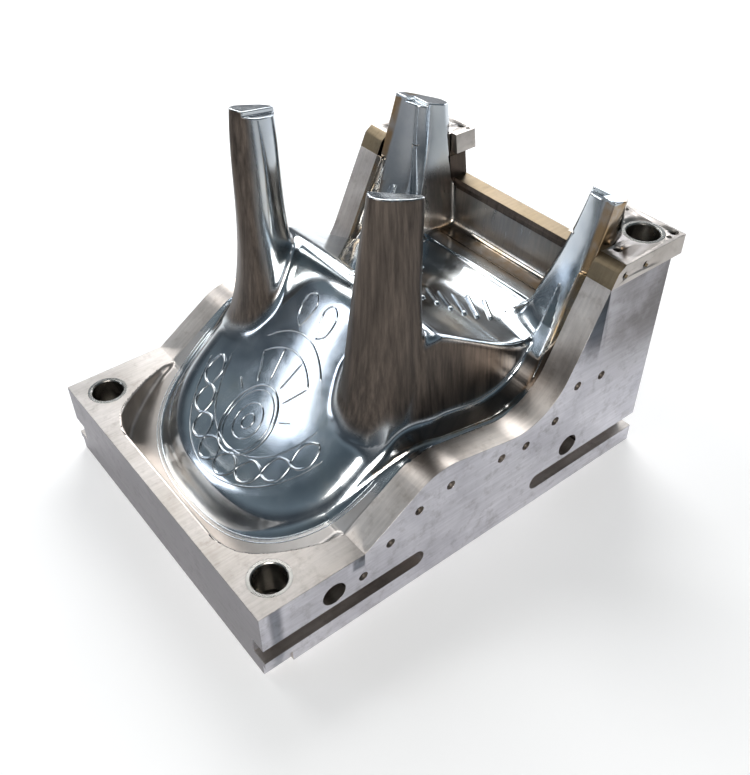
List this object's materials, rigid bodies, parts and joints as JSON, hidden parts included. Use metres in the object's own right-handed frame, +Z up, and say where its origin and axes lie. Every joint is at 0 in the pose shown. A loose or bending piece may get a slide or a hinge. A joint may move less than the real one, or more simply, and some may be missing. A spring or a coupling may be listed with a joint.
{
  "type": "injection mould core half",
  "caption": "Steel core half of an armchair injection mould, with tapered leg posts, polished back dome and seat, guide bushes, clamp slots and plugged cooling ports.",
  "frame": {"origin": "middle of the base", "axes": "+X from the low backrest end to the high front-leg end, +Y across, +Z up, the way the mould opens"},
  "size_m": [0.96, 0.72, 0.7181],
  "materials": {
    "core_steel": "machined and polished tool steel",
    "plate_steel": "ground",
    "bush_steel": "ground, honed bore",
    "screw_steel": "blackened",
    "plug_steel": "turned",
    "insert_steel": "mirror polished"
  },
  "bodies": {
    "root": {"cooling_plug_1_far": "plug_steel", "cooling_plug_1_near": "plug_steel", "cooling_plug_2_far": "plug_steel", "cooling_plug_2_near": "plug_steel", "cooling_plug_3_far": "plug_steel", "cooling_plug_3_near": "plug_steel", "cooling_plug_4_far": "plug_steel", "cooling_plug_4_near": "plug_steel", "cooling_plug_5_far": "plug_steel", "cooling_plug_5_near": "plug_steel", "cooling_plug_6_far": "plug_steel", "cooling_plug_6_near": "plug_steel", "cooling_plug_7_far": "plug_steel", "cooling_plug_7_near": "plug_steel", "cooling_plug_8_far": "plug_steel", "cooling_plug_8_near": "plug_steel", "cooling_plug_9_far": "plug_steel", "cooling_plug_9_near": "plug_steel", "core_block": "core_steel", "gate_bush": "bush_steel", "guide_bush_high_far": "bush_steel", "guide_bush_high_near": "bush_steel", "guide_bush_low_far": "bush_steel", "guide_bush_low_near": "bush_steel", "medallion_insert": "insert_steel", "plate_dowel_1_far": "screw_steel", "plate_dowel_1_near": "screw_steel", "plate_dowel_2_far": "screw_steel", "plate_dowel_2_near": "screw_steel", "plate_screw_1_far": "screw_steel", "plate_screw_1_near": "screw_steel", "plate_screw_2_far": "screw_steel", "plate_screw_2_near": "screw_steel", "plate_screw_3_far": "screw_steel", "plate_screw_3_near": "screw_steel", "shoulder_plate_far": "plate_steel", "shoulder_plate_near": "plate_steel", "side_screw_1_far": "screw_steel", "side_screw_1_near": "screw_steel", "side_screw_2_far": "screw_steel", "side_screw_2_near": "screw_steel"}
  },
  "joints": []
}
